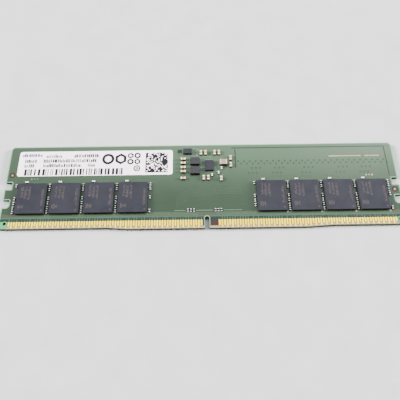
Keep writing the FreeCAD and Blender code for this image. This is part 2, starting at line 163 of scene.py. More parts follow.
class Look:
    """One material: its shader, and short ways to add the nodes that feed it."""

    def __init__(self, name, **sockets):
        self.material = bpy.data.materials.new(name)
        self.material.use_nodes = True
        self.tree = self.material.node_tree
        self.shader = self.tree.nodes["Principled BSDF"]
        for socket, value in sockets.items():
            self.shader.inputs[socket.replace("_", " ")].default_value = value
        coordinates = self.tree.nodes.new("ShaderNodeTexCoord")
        self.place = coordinates.outputs["Object"]
        split = self.add("ShaderNodeSeparateXYZ", {"Vector": self.place})
        self.x, self.y, self.z = split.outputs

    def add(self, kind, feeds, **settings):
        node = self.tree.nodes.new(kind)
        for key, value in settings.items():
            setattr(node, key, value)
        for key, value in feeds.items():
            if isinstance(value, bpy.types.NodeSocket):
                self.tree.links.new(value, node.inputs[key])
            else:
                node.inputs[key].default_value = value
        return node

    def stretched(self, x, y, z):
        """Object coordinates with each axis scaled, to draw a grain out along one of them."""
        return self.add("ShaderNodeMapping", {"Vector": self.place, "Scale": (x, y, z)}).outputs["Vector"]

    def noise(self, size_mm, detail=2.0, vector=None):
        """Cloudy noise whose patches are about size_mm across."""
        feeds = {"Vector": vector or self.place, "Scale": 1 / (size_mm * MM), "Detail": detail}
        return self.add("ShaderNodeTexNoise", feeds).outputs["Fac"]

    def cells(self, size_mm, output="Distance"):
        """Scattered grains about size_mm across: the distance to the nearest one, or its own colour."""
        feeds = {"Vector": self.place, "Scale": 1 / (size_mm * MM)}
        return self.add("ShaderNodeTexVoronoi", feeds).outputs[output]

    def math(self, operation, first, second=0.0):
        return self.add("ShaderNodeMath", {0: first, 1: second}, operation=operation).outputs[0]

    def times(self, first, second):
        return self.math("MULTIPLY", first, second)

    def most(self, first, second):
        return self.math("MAXIMUM", first, second)

    def wave(self, value, length_mm):
        return self.math("SINE", self.times(value, 2 * math.pi / (length_mm * MM)))

    def step(self, value, low, high):
        """0 below low, 1 above high, and a smooth rise between."""
        feeds = {"Value": value, "From Min": low, "From Max": high}
        return self.add("ShaderNodeMapRange", feeds, interpolation_type="SMOOTHSTEP").outputs["Result"]

    def band(self, value, low, high, soft):
        """1 between low and high, fading over soft at both ends."""
        return self.times(self.step(value, low - soft, low), self.step(value, high + soft, high))

    def ramp(self, share, first, last, start=0.3, end=0.7):
        """A colour that turns from first to last as share rises from start to end."""
        node = self.add("ShaderNodeValToRGB", {"Fac": share})
        for element, position, color in zip(node.color_ramp.elements, (start, end), (first, last)):
            element.position = position
            element.color = (*color, 1)
        return node.outputs["Color"]

    def mix(self, share, first, second, blend="MIX"):
        """first where share is 0, second where it is 1. A colour is three numbers or a socket."""
        node = self.add("ShaderNodeMix", {0: share}, data_type="RGBA", blend_type=blend)
        for socket, value in ((node.inputs[6], first), (node.inputs[7], second)):
            if isinstance(value, bpy.types.NodeSocket):
                self.tree.links.new(value, socket)
            else:
                socket.default_value = (*value, 1)
        return node.outputs[2]

    def color(self, value):
        self.tree.links.new(value, self.shader.inputs["Base Color"])

    def rough(self, share, low, high):
        """Roughness that goes from low to high with share."""
        feeds = {"Value": share, "To Min": low, "To Max": high}
        result = self.add("ShaderNodeMapRange", feeds).outputs["Result"]
        self.tree.links.new(result, self.shader.inputs["Roughness"])

    def upward(self):
        """1 on faces that look up or down, 0 on the sides."""
        normal = self.add("ShaderNodeNewGeometry", {}).outputs["Normal"]
        facing = self.add("ShaderNodeSeparateXYZ", {"Vector": normal}).outputs["Z"]
        return self.step(self.math("ABSOLUTE", facing), 0.5, 0.95)

    def distance(self, centre):
        """How far away an upright line through centre is."""
        across = self.math("SUBTRACT", self.x, centre.x)
        along = self.math("SUBTRACT", self.y, centre.y)
        return self.math("SQRT", self.math("ADD", self.times(across, across), self.times(along, along)))

    def bump(self, height, depth_mm):
        """Relief of depth_mm between height 0 and 1. Calls add up."""
        feeds = {"Height": height, "Distance": depth_mm * MM, "Strength": 1.0}
        normal = self.shader.inputs["Normal"]
        if normal.is_linked:
            feeds["Normal"] = normal.links[0].from_socket
        self.tree.links.new(self.add("ShaderNodeBump", feeds).outputs["Normal"], normal)


def shaded(color, share):
    """The same colour, darker or lighter by share."""
    return tuple(part * share for part in color)


def solder_mask_look(name, shade=1.0, gloss=0.30, edge_band=True):
    """Green lacquer over copper and glass cloth: orange peel, a faint weave, dust, and dull patches.

    shade makes the green lighter, and edge_band adds what changes from place to place on the board."""
    look = Look(name, Specular_IOR_Level=gloss)
    cloud = look.noise(14.0, detail=4)
    fine = look.noise(0.8, detail=3)
    deep = shaded((0.0116, 0.0247, 0.0120), shade)
    clear = shaded((0.0163, 0.0308, 0.0166), shade)
    color = look.ramp(cloud, deep, clear)
    color = look.mix(look.times(fine, 0.25), color, (0.008, 0.019, 0.010))
    # Inner tracks run along the board and show faintly through the outer layer.
    lanes = look.noise(0.32, detail=1, vector=look.stretched(0.03, 1.0, 1.0))
    color = look.mix(look.times(look.step(lanes, 0.5, 0.62), 0.22), color, (0.007, 0.017, 0.010))
    if edge_band:
        # The lacquer is paler green over the upper part of the board, more so towards the right.
        whole = look.times(look.step(look.y, up(9.0), up(31.0)), look.step(look.x, -110 * MM, 16 * MM))
        color = look.mix(look.times(whole, 0.92), color, (0.045, 0.080, 0.047))
        # The bundle of long tracks above the contacts gives the lacquer an olive tint.
        olive = look.band(look.y, up(4.4), up(5.6), 0.1 * MM)
        color = look.mix(look.times(olive, 0.6), color, (0.040, 0.045, 0.028))
        # Just above the contacts no copper lies under it, so it is darker there, up to a pale seam.
        bare = look.band(look.y, up(2.9), up(3.95), 0.12 * MM)
        color = look.mix(bare, color, (0.002, 0.016, 0.012))
        pale = look.band(look.y, up(4.08), up(4.3), 0.1 * MM)
        color = look.mix(look.times(pale, 0.5), color, (0.05, 0.09, 0.075))
    dust = look.step(look.cells(1.7), 0.035, 0.02)
    color = look.mix(look.times(dust, 0.3), color, (0.2, 0.2, 0.19))
    look.color(color)
    look.rough(look.noise(5.0, detail=5), 0.26, 0.40)
    look.bump(look.times(look.wave(look.x, 0.55), look.wave(look.y, 0.42)), 0.0012)
    look.bump(look.noise(0.35, detail=2), 0.006)
    return look.material


def laminate_rim(look, strands, from_middle):
    """The strip that the lacquer leaves bare at the edges: greener in the low corners and at the ends."""
    end = look.step(from_middle, STRIP_END_X, STRIP_END_X + 0.2 * MM)
    low_corner = look.times(end, look.step(look.y, up(STRIP_TOP_UP + 1.0), up(STRIP_TOP_UP)))
    greener = look.most(low_corner, look.step(from_middle, 65.2 * MM, 65.9 * MM))
    pale = look.ramp(strands, (0.095, 0.190, 0.115), (0.130, 0.240, 0.150), 0.35, 0.65)
    green = look.ramp(strands, (0.050, 0.200, 0.085), (0.075, 0.270, 0.120), 0.35, 0.65)
    return look.mix(greener, pale, green)


def laminate_openings(look, from_middle):
    """1 where the laminate shows brown: between the contacts and round the two fiducials."""
    strip = look.step(look.y, up(STRIP_TOP_UP + 0.1), up(STRIP_TOP_UP))
    inside = look.step(from_middle, STRIP_END_X + 0.15 * MM, STRIP_END_X)
    from_key = look.math("ABSOLUTE", look.math("SUBTRACT", look.x, KEY_X))
    off_key = look.step(from_key, KEY_HALF_WIDTH + 0.22 * MM, KEY_HALF_WIDTH + 0.32 * MM)
    brown = look.times(strip, look.times(inside, off_key))
    for centre in FIDUCIALS:
        brown = look.most(brown, look.step(look.distance(centre), 1.1 * MM, 1.05 * MM))
    return brown


def laminate_look():
    """Bare glass laminate: pale at its rim, brown in its openings, and layered where it is cut, with
    painted shade darkening its cut sides.
    """
    look = Look("glass_laminate", Roughness=0.6, Specular_IOR_Level=0.3)
    strands = look.noise(0.5, detail=4, vector=look.stretched(0.08, 0.08, 1.0))
    from_middle = look.math("ABSOLUTE", look.x)
    # Painted shade: the cut sides are coloured dark to stand in for the shade that falls on them.
    cut = look.ramp(strands, (0.020, 0.032, 0.018), (0.034, 0.050, 0.028), 0.35, 0.65)
    cut = look.mix(look.step(look.wave(look.z, 0.11), 0.2, 0.9), cut, (0.012, 0.019, 0.010))
    # The contact edge stands half a millimetre further up towards both ends of the board.
    raised = look.most(look.step(look.x, -24.4 * MM, -31.3 * MM), look.step(look.x, 34.3 * MM, 42.5 * MM))
    above_edge = look.math("SUBTRACT", look.y, look.times(raised, 0.5 * MM))
    cloth = look.noise(0.3, detail=3)
    dark = look.ramp(cloth, (0.020, 0.010, 0.010), (0.032, 0.017, 0.016))
    pale = look.ramp(cloth, (0.21, 0.17, 0.095), (0.29, 0.24, 0.14))
    dark = look.mix(look.step(above_edge, up(1.0), up(0.6)), dark, pale)
    rim = laminate_rim(look, strands, from_middle)
    surface = look.mix(laminate_openings(look, from_middle), rim, dark)
    look.color(look.mix(look.upward(), cut, surface))
    look.rough(strands, 0.5, 0.75)
    look.bump(strands, 0.012)
    return look.material


def gold_look():
    """Hard gold plating, with fine wipe marks along the contacts and a slightly different tone on each."""
    look = Look("gold_plating", Metallic=0.75)
    wipes = look.noise(0.06, detail=3, vector=look.stretched(1.0, 0.06, 1.0))
    each = look.noise(0.9, detail=0, vector=look.stretched(1.0, 0.05, 1.0))
    tone = look.ramp(each, (1.0, 0.70, 0.03), (1.0, 0.82, 0.07), 0.35, 0.65)
    # The plating is redder towards the edge, where it is thinner and worn by the slot.
    worn = look.step(look.y, up(1.5), up(0.4))
    tone = look.mix(look.times(worn, 0.6), tone, (0.98, 0.64, 0.06))
    look.color(look.mix(look.times(wipes, 0.3), tone, (0.80, 0.52, 0.03)))
    look.rough(wipes, 0.16, 0.34)
    look.bump(wipes, 0.0015)
    look.bump(look.noise(0.5), 0.009)
    return look.material


def bare_pad_look():
    """Uncovered metal: copper on the marks near the board's ends, tinned on the lands among the parts."""
    look = Look("bare_pads", Metallic=1.0)
    stain = look.noise(0.5, detail=4)
    copper = look.ramp(stain, (0.46, 0.31, 0.19), (0.62, 0.44, 0.28))
    tin = look.ramp(stain, (0.20, 0.23, 0.20), (0.32, 0.35, 0.31))
    far_right = look.step(look.x, 43 * MM, 44 * MM)
    far_left = look.step(look.x, -63 * MM, -64 * MM)
    color = look.mix(look.most(far_left, far_right), tin, copper)
    for centre in FIDUCIALS:
        ring = look.band(look.distance(centre), 0.34 * MM, 0.6 * MM, 0.06 * MM)
        color = look.mix(look.times(ring, 0.8), color, (0.12, 0.055, 0.035))
    look.color(color)
    look.rough(look.noise(0.2, detail=3), 0.35, 0.55)
    look.bump(look.noise(0.08, detail=2), 0.003)
    return look.material


def winding_look():
    look = Look("enamelled_copper", Metallic=1.0)
    draw = look.noise(0.1, detail=3, vector=look.stretched(0.2, 1.0, 1.0))
    look.color(look.ramp(draw, (0.70, 0.36, 0.20), (0.88, 0.50, 0.32)))
    look.rough(draw, 0.25, 0.4)
    return look.material


def tin_look(name, low, high, metallic, dullness):
    """Tin or solder: silvery, with a dull frosted grain, and with painted shade on its sides."""
    look = Look(name, Metallic=metallic)
    frost = look.noise(0.12, detail=4)
    top = look.ramp(frost, low, high)
    # Painted shade: the sides are a darker copy of the top colour.
    side = look.ramp(frost, shaded(low, 0.35), shaded(high, 0.5))
    look.color(look.mix(look.upward(), side, top))
    look.rough(frost, dullness, dullness + 0.16)
    look.bump(look.noise(0.07, detail=2), 0.004)
    return look.material


def moulding_look():
    """Black epoxy moulding compound: fine matt grain, pale filler specks and faint flow clouds."""
    look = Look("epoxy_moulding", Specular_IOR_Level=0.125)
    flow = look.noise(3.5, detail=4)
    tone = look.ramp(flow, (0.0135, 0.0137, 0.0192), (0.0180, 0.0180, 0.0241))
    specks = look.step(look.cells(0.09), 0.16, 0.08)
    look.color(look.mix(look.times(specks, 0.35), tone, (0.06, 0.058, 0.065)))
    look.rough(look.noise(1.2, detail=5), 0.34, 0.46)
    look.bump(look.noise(0.05, detail=2), 0.005)
    return look.material


def laser_mark_look():
    """The compound where a laser has burnt it paler and rougher."""
    look = Look("laser_marking", Roughness=0.75, Specular_IOR_Level=0.15)
    burn = look.noise(0.06, detail=3)
    look.color(look.ramp(burn, (0.038, 0.032, 0.032), (0.064, 0.052, 0.052)))
    look.bump(burn, 0.006)
    return look.material


def substrate_look():
    """The thin board under each chip, with its sawn edge."""
    look = Look("chip_substrate", Roughness=0.55)
    saw = look.noise(0.05, detail=2, vector=look.stretched(0.1, 0.1, 1.0))
    look.color(look.ramp(saw, (0.020, 0.035, 0.020), (0.055, 0.080, 0.045)))
    look.bump(saw, 0.004)
    return look.material


def silicon_look():
    look = Look("silicon", Metallic=0.6, Roughness=0.25)
    ground = look.noise(0.15, detail=3, vector=look.stretched(0.1, 1.0, 1.0))
    look.color(look.ramp(ground, (0.20, 0.21, 0.25), (0.28, 0.29, 0.33)))
    look.bump(ground, 0.001)
    return look.material


def ceramic_look(name, low, high, dullness, paler_above=None):
    """Fired ceramic: mottled, with tiny pits, and with painted shade on its sides.

    The parts further up the board than paler_above, in millimetres, are of a paler make."""
    look = Look(name)
    mottle = look.noise(0.18, detail=4)
    top = look.ramp(mottle, low, high)
    # Painted shade: the sides are a darker copy of the top colour.
    side = look.ramp(mottle, shaded(low, 0.3), shaded(high, 0.3))
    if paler_above:
        top = look.mix(look.step(look.y, up(paler_above), up(paler_above + 0.1)), top, (0.50, 0.46, 0.38))
    look.color(look.mix(look.upward(), side, top))
    look.rough(mottle, dullness, dullness + 0.15)
    look.bump(look.noise(0.04, detail=2), 0.004)
    return look.material


def inductor_look():
    """Pressed iron powder: coarse grey grain with bright metal specks."""
    look = Look("pressed_iron_powder", Specular_IOR_Level=0.15)
    grain = look.cells(0.07, output="Color")
    tone = look.ramp(look.noise(0.6, detail=4), (0.0165, 0.0158, 0.0185), (0.0270, 0.0252, 0.0290))
    look.color(look.mix(0.35, tone, grain, blend="SOFT_LIGHT"))
    look.rough(look.noise(0.15, detail=3), 0.38, 0.6)
    look.bump(look.noise(0.06, detail=3), 0.010)
    return look.material


def paper_look():
    """Coated label paper: slightly pink white, with soft fibres and a faint sheen."""
    look = Look("label_paper", Roughness=0.5)
    fibre = look.noise(0.25, detail=5, vector=look.stretched(0.4, 1.0, 1.0))
    cloud = look.noise(9.0, detail=2)
    white = look.ramp(cloud, (0.96, 0.86, 0.92), (0.99, 0.91, 0.96), 0.35, 0.65)
    look.color(look.mix(look.times(fibre, 0.08), white, (0.78, 0.74, 0.76)))
    look.rough(fibre, 0.42, 0.58)
    look.bump(fibre, 0.004)
    return look.material


def ink_look(name, low, high):
    """Printed ink that is thinner in places."""
    look = Look(name, Roughness=0.55, Specular_IOR_Level=0.15)
    wear = look.noise(0.12, detail=4)
    look.color(look.ramp(wear, low, high, 0.35, 0.75))
    look.bump(wear, 0.002)
    return look.material


# ---------------------------------------------------------------- mesh tools

def solids_of(node):
    """The lowest and highest corner of each separate solid in a CAD node, in a fixed order."""
    bm = bmesh.new()
    bm.from_mesh(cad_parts[node].data)
    bmesh.ops.remove_doubles(bm, verts=bm.verts, dist=1e-7)
    seen = set()
    boxes = []
    for first in bm.verts:
        if first in seen:
            continue
        seen.add(first)
        group = [first]
        for vert in group:
            for edge in vert.link_edges:
                other = edge.other_vert(vert)
                if other not in seen:
                    seen.add(other)
                    group.append(other)
        low = Vector(min(v.co[k] for v in group) for k in range(3))
        high = Vector(max(v.co[k] for v in group) for k in range(3))
        boxes.append((low, high))
    bm.free()
    return sorted(boxes, key=lambda box: (round(box[0].x, 6), round(box[0].y, 6)))


def make_piece(name, bm, material, replaced=()):
    """Turn a finished bmesh into a piece that rides on the module. Edges over 35 degrees stay sharp."""
    limit = math.radians(35)
    for face in bm.faces:
        face.smooth = True
    for edge in bm.edges:
        edge.smooth = len(edge.link_faces) == 2 and edge.calc_face_angle(0) < limit
    mesh = bpy.data.meshes.new(name)
    bm.to_mesh(mesh)
    bm.free()
    piece = bpy.data.objects.new(name, mesh)
    bpy.context.scene.collection.objects.link(piece)
    mesh.materials.append(material)
    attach(piece, "root")
    if replaced:
        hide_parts(*replaced)
    return piece


def add_box(bm, low, high):
    """A box between two corners. Returns its vertices."""
    size = high - low
    place = Matrix.Translation((low + high) / 2) @ Matrix.Diagonal((*size, 1))
    return bmesh.ops.create_cube(bm, size=1, matrix=place)["verts"]


def round_edges(bm, verts, radius, segments=2):
    edges = list({edge for vert in verts for edge in vert.link_edges})
    bmesh.ops.bevel(bm, geom=edges, offset=radius, offset_type="OFFSET", segments=segments, profile=0.5,
                    affect="EDGES", material=-1, clamp_overlap=True)


def verts_in(made):
    """The vertices among what an extrude operator made."""
    return [item for item in made if isinstance(item, bmesh.types.BMVert)]


def raise_faces(bm, verts, height):
    """Lift the faces that use these vertices off their outline, with walls round them."""
    faces = list({face for vert in verts for face in vert.link_faces})
    top = bmesh.ops.extrude_face_region(bm, geom=faces)["geom"]
    bmesh.ops.translate(bm, verts=verts_in(top), vec=(0, 0, height))


def add_plate(bm, x, y, z, width, depth, height):
    """A flat plate that stands on z and is centred on x and y."""
    low = Vector((x - width / 2, y - depth / 2, z))
    add_box(bm, low, low + Vector((width, depth, height)))


def add_disc(bm, place, radius, height):
    disc = bmesh.ops.create_circle(bm, cap_ends=True, segments=16, radius=radius,
                                   matrix=Matrix.Translation(place))
    raise_faces(bm, disc["verts"], height)


def add_ring(bm, place, radius, stroke, height, segments):
    """A flat ring or, with few segments, a plain polygon outline."""
    ring = bmesh.ops.create_circle(bm, segments=segments, radius=radius, matrix=Matrix.Translation(place))
    edges = list({edge for vert in ring["verts"] for edge in vert.link_edges})
    inner = verts_in(bmesh.ops.extrude_edge_only(bm, edges=edges)["geom"])
    bmesh.ops.scale(bm, vec=(1 - stroke / radius,) * 3, verts=inner, space=Matrix.Translation(-place))
    raise_faces(bm, inner, height)


def template_mesh(name, bm):
    mesh = bpy.data.meshes.new(name)
    bm.to_mesh(mesh)
    bm.free()
    return mesh


def stamp(bm, template, places):
    """Add a copy of a template mesh at each placement matrix."""
    for place in places:
        template.transform(place)
        bm.from_mesh(template)
        template.transform(place.inverted())


# ---------------------------------------------------------------- chip capacitors and resistors

def end_template(length, width, height):
    """One wrapped terminal: a rounded block."""
    bm = bmesh.new()
    verts = add_box(bm, Vector((0, -width / 2, 0)), Vector((length, width / 2, height)))
    round_edges(bm, verts, 0.055 * MM, segments=3)
    return template_mesh("end_template", bm)


def fillet_template(width, height, reach):
    """Solder that has crept up a terminal: a hollow-faced wedge, wider at its foot."""
    bm = bmesh.new()
    foot = bm.verts.new((1, 0, 0))
    bmesh.ops.spin(bm, geom=[foot], cent=(1, 0, 1), axis=(0, 1, 0), angle=math.pi / 2, steps=4)
    for vert in verts_in(bmesh.ops.extrude_edge_only(bm, edges=bm.edges[:])["geom"]):
        vert.co.z = 0
    bmesh.ops.remove_doubles(bm, verts=bm.verts, dist=1e-6)
    far_side = bmesh.ops.extrude_face_region(bm, geom=bm.faces[:])["geom"]
    bmesh.ops.translate(bm, verts=verts_in(far_side), vec=(0, 1, 0))
    bmesh.ops.translate(bm, verts=bm.verts, vec=(0, -0.5, 0))
    for vert in bm.verts:
        vert.co.y *= 1 + 0.2 * (1 - vert.co.z)
    bmesh.ops.scale(bm, vec=(reach, width, height), verts=bm.verts)
    bmesh.ops.recalc_face_normals(bm, faces=bm.faces)
    return template_mesh("fillet_template", bm)


def end_places(low, high):
    """Where a chip part's two end faces stand on the board, as matrices whose x points outwards."""
    size = high - low
    centre = (low + high) / 2
    foot = Vector((centre.x, centre.y, BOARD_TOP))
    # The terminals wrap the body, so they reach past it as far as they lift it off the board.
    half = max(size.x, size.y) / 2 + low.z - BOARD_TOP
    first_angle = math.pi / 2 if size.y > size.x else 0
    places = []
    for angle in (first_angle, math.pi + first_angle):
        outward = Vector((math.cos(angle), math.sin(angle), 0))
        places.append(Matrix.Translation(foot + outward * half) @ Matrix.Rotation(angle, 4, "Z"))
    return places


def chip_parts(name, body_look, end_look, end_share):
    """Replace one kind of chip part with rounded bodies, rounded terminals and solder at both ends.

    end_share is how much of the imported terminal's length the bright plating covers."""
    body_bm = bmesh.new()
    ends = []
    for low, high in solids_of(name + "_bodies"):
        round_edges(body_bm, add_box(body_bm, low, high), 0.02 * MM)
        ends += end_places(low, high)
    make_piece(name + "_ceramics", body_bm, materials[body_look], [name + "_bodies"])
    low, high = solids_of(name + "_terminals")[0]
    size = high - low
    length = min(size.x, size.y) * end_share
    width = max(size.x, size.y)
    inward = Matrix.Translation((-length, 0, 0))
    end_bm = bmesh.new()
    stamp(end_bm, end_template(length, width, size.z), [place @ inward for place in ends])
    make_piece(name + "_ends", end_bm, materials[end_look], [name + "_terminals"])
    solder_bm = bmesh.new()
    stamp(solder_bm, fillet_template(width, size.z * 0.5, 0.14 * MM), ends)
    make_piece(name + "_solder", solder_bm, materials["solder"])


# ---------------------------------------------------------------- tracks and vias under the lacquer
# Places, widths and pitches in this section are millimetres. Heights are metres.

TRACK_HEIGHT = 0.012 * MM
# Short stubs lead up from most of the contacts, and small vias stand above most of them.
STUB_WIDTH = 0.26
STUB_SHARE = 0.75
CONTACT_VIA_SHARE = 0.7
LONG_TRACK_WIDTH = 0.13
LONG_TRACK_UP = 4.5
LONG_TRACK_PITCH = 0.26
JOG = 0.2
# Above every chip a row of short tracks leads up to small vias.
CHIP_TRACKS = 9
CHIP_TRACK_PITCH = 0.95
CHIP_TRACK_FROM_SIDE = 0.9
CHIP_TRACK_WIDTH = 0.1
BALL_PITCH = 0.8
BALL_ROWS = 13
BALL_COLUMNS = (-3.6, -2.8, -2.0, 2.0, 2.8, 3.6)
WIDE_TRACK_WIDTH = 0.2
RESISTOR_LINE_UP = 6.25
WIDE_PATHS = (
    ((-9.3, RESISTOR_LINE_UP), (-5.4, RESISTOR_LINE_UP)),
    ((-2.3, RESISTOR_LINE_UP), (3.8, RESISTOR_LINE_UP)),
    ((6.7, RESISTOR_LINE_UP), (13.0, RESISTOR_LINE_UP)),
    ((-2.9, 29.9), (-1.7, 29.75), (-0.9, 29.4)),
    ((4.6, 24.6), (4.6, 23.2), (5.1, 22.7)),
    ((4.5, 22.3), (4.9, 21.3), (4.9, 20.4)),
    ((-0.2, 24.9), (-0.2, 23.1)),
    ((-0.1, 22.4), (-0.4, 21.4)),
    ((1.2, 25.3), (3.9, 25.3)),
    ((0.5, 26.4), (3.4, 26.4)),
    ((4.2, 20.0), (4.6, 19.4)),
)
FAINT_TRACK_WIDTH = 0.14
GAP_WIDTH = 0.32
GAP_PATHS = (
    ((10.5, 29.8), (64.0, 29.8), (64.0, 18.2)),
    ((11.7, 29.3), (11.7, 22.0)),
)
# One more gap is a small field beside the management hub.
HUB_GAP_WIDTH = 1.3
HUB_GAP = ((-8.4, 28.75), (-6.9, 28.75))
VIA_RADIUS = 0.4
SMALL_VIA_SHARE = 0.6
SMALL_VIA = Matrix.Diagonal((SMALL_VIA_SHARE, SMALL_VIA_SHARE, 1, 1))


def contact_middles():
    """The x of every front contact's middle line."""
    return [(low.x + high.x) / 2 / MM for low, high in solids_of("contacts_front")]


def chip_track_places():
    """The x of every short track above the chips."""
    return [low.x / MM + CHIP_TRACK_FROM_SIDE + CHIP_TRACK_PITCH * i
            for low, high in CHIPS for i in range(CHIP_TRACKS)]


def add_track(bm, points, width):
    """A raised track on the board through these points, with mitred turns."""
    places = [on_board(x, track_up) for x, track_up in points]
    turns = [(after - before).normalized() for before, after in zip(places, places[1:])]
    sides = []
    for before, after in zip([turns[0]] + turns, turns + [turns[-1]]):
        middle = (before + after).normalized()
        reach = width * MM / 2 / middle.dot(after)
        sides.append(Vector((-middle.y, middle.x, 0)) * reach)
    ends = [bm.verts.new(places[0] + sides[0]), bm.verts.new(places[0] - sides[0])]
    edge = bm.edges.new(ends)
    faces = []
    for place, side in zip(places[1:], sides[1:]):
        left_end = ends[0]
        made = bmesh.ops.extrude_edge_only(bm, edges=[edge])["geom"]
        faces += [item for item in made if isinstance(item, bmesh.types.BMFace)]
        fresh = verts_in(made)
        edge = next(item for item in made if isinstance(item, bmesh.types.BMEdge) and
                    all(vert in fresh for vert in item.verts))
        left = next(vert for vert in fresh if any(e.other_vert(vert) is left_end for e in vert.link_edges))
        right = edge.other_vert(left)
        left.co = place + side
        right.co = place - side
        ends = [left, right]
    top = bmesh.ops.extrude_face_region(bm, geom=faces)["geom"]
    bmesh.ops.translate(bm, verts=verts_in(top), vec=(0, 0, TRACK_HEIGHT))


def through(bm):
    """The same tracks or vias again on the back of the board, facing down."""
    copy = bm.copy()
    bmesh.ops.translate(copy, verts=copy.verts, vec=(0, 0, -BOARD_TOP))
    bmesh.ops.scale(copy, vec=(1, 1, -1), verts=copy.verts)
    bmesh.ops.recalc_face_normals(copy, faces=copy.faces)
    return copy


def long_tracks():
    """The bundle that runs along the board above the contacts, with a few shared jogs."""
    paths = []
    for first, last, jogs in ((-61.5, -1.4, (-50, -37, -22, -11)), (4.4, 62.0, (14, 29, 43, 55))):
        for lane in range(5):
            lane_up = LONG_TRACK_UP + LONG_TRACK_PITCH * lane
            points = [(first, lane_up)]
            for number, x in enumerate(jogs):
                jog = -JOG if number % 2 else JOG
                points += [(x, lane_up), (x + JOG, lane_up + jog)]
                lane_up += jog
            points.append((last, lane_up))
            paths.append(points)
    return paths


def faint_tracks():
    """Two groups of thin tracks below the middle parts: one runs to the right and one down."""
    paths = []
    for lane in range(7):
        lane_up = 11.6 + 0.55 * lane
        shift = 0.4 * lane
        paths.append(((-9.0 + 0.9 * lane, lane_up), (3.0 + shift, lane_up),
                      (3.6 + shift, lane_up + 0.6), (13.5, lane_up + 0.6)))
    for lane in range(6):
        x = -8.6 + 0.7 * lane
        paths.append(((x, 7.4 + 0.3 * lane), (x, 11.1)))
    return paths


def make_track_piece(name, bm, look_name):
    bmesh.ops.recalc_face_normals(bm, faces=bm.faces)
    make_piece(name, bm, materials[look_name])


def tracks_along(paths, width):
    bm = bmesh.new()
    for points in paths:
        add_track(bm, points, width)
    return bm


def make_tracks():
    bm = tracks_along(long_tracks(), LONG_TRACK_WIDTH)
    for x in chip_track_places():
        add_track(bm, ((x, 16.4), (x, 16.95), (x + 0.35, 17.3), (x + 0.35, 18.0)), CHIP_TRACK_WIDTH)
    make_track_piece("tracks_back", through(bm), "track")
    rng = random.Random(5)
    for x in contact_middles():
        if rng.random() < STUB_SHARE:
            add_track(bm, ((x, 3.1), (x, rng.choice((3.7, 4.1)))), STUB_WIDTH)
    make_track_piece("tracks_front", bm, "track")
    make_track_piece("bright_tracks_front", tracks_along(WIDE_PATHS, WIDE_TRACK_WIDTH), "bright_track")
    make_track_piece("faint_tracks_front", tracks_along(faint_tracks(), FAINT_TRACK_WIDTH), "faint_track")
    gaps = tracks_along(GAP_PATHS, GAP_WIDTH)
    add_track(gaps, HUB_GAP, HUB_GAP_WIDTH)
    make_track_piece("copper_gaps_front", gaps, "gap")


def via_template():
    """A lacquered via: a low ring with a dimple in it."""
    bm = bmesh.new()
    bmesh.ops.create_circle(bm, cap_ends=True, segments=12, radius=VIA_RADIUS * MM)
    rim = bmesh.ops.inset_region(bm, faces=bm.faces[:], thickness=0.06 * MM, depth=TRACK_HEIGHT)["faces"]
    inner = [face for face in bm.faces if face not in rim]
    bmesh.ops.inset_region(bm, faces=inner, thickness=0.08 * MM, depth=-TRACK_HEIGHT * 0.9)
    return template_mesh("via_template", bm)


def large_via_places():
    """Two long rows of vias at the upper right, and groups of three below them."""
    places = []
    for row, row_up in enumerate((24.45, 23.5)):
        places += [(12.6 + 1.02 * row + 2.02 * i, row_up) for i in range(26)]
    for first in (17.2, 25.2, 35.3, 47.2, 55.1):
        places += [(first + 1.45 * i, 21.8) for i in range(3)]
    for first in (16.1, 24.3, 34.4, 46.1, 54.3):
        places += [(first + 1.35 * i, 19.8) for i in range(3)]
    return places


def small_via_places():
    """Small vias: one above most of the contacts, and a row above each chip."""
    rng = random.Random(7)
    places = [(x, rng.choice((3.35, 3.7))) for x in contact_middles()
              if rng.random() < CONTACT_VIA_SHARE]
    places += [(x, rng.choice((16.95, 17.9, 18.4))) for x in chip_track_places()]
    return places


def ball_via_places():
    """The vias that lead down from the balls of every memory chip. They show on the back only."""
    places = []
    for low, high in CHIPS:
        middle_x = (low.x + high.x) / 2 / MM
        middle_up = ((low.y + high.y) / 2 - EDGE_Y) / MM
        for column in BALL_COLUMNS:
            for row in range(BALL_ROWS):
                row_up = middle_up + (row - BALL_ROWS // 2) * BALL_PITCH + 0.2
                places.append((middle_x + column, row_up))
    return places


def make_vias():
    via = via_template()
    bm = bmesh.new()
    stamp(bm, via, [Matrix.Translation(on_board(*place)) for place in large_via_places()])
    stamp(bm, via, [Matrix.Translation(on_board(*place)) @ SMALL_VIA for place in small_via_places()])
    back = through(bm)
    face_down = Matrix.Rotation(math.pi, 4, "X")
    stamp(back, via, [Matrix.Translation(on_board(*place, z=0)) @ face_down @ SMALL_VIA
                      for place in ball_via_places()])
    make_piece("vias_back", back, materials["via"])
    make_piece("vias_front", bm, materials["via"])


# ---------------------------------------------------------------- chip and label markings
# Places and sizes in this section are millimetres. Heights are metres.

MARK_HEIGHT = 0.004 * MM
INK_HEIGHT = 0.006 * MM
# Rows of strokes on a chip, as (x of the row, where it starts, where it ends) from the chip's middle.
MARK_ROWS = ((-3.15, 0.3, 4.3), (-1.95, -0.1, 4.2), (-0.75, -0.5, 4.2), (3.75, -2.7, 3.2))
MARK_SIZE = 0.85
PIN_ONE_FROM_SIDE = 0.85
PIN_ONE_FROM_BOTTOM = 1.1
PIN_ONE_DEPTH = 0.03
PIN_ONE_DOT_RADIUS = 0.26
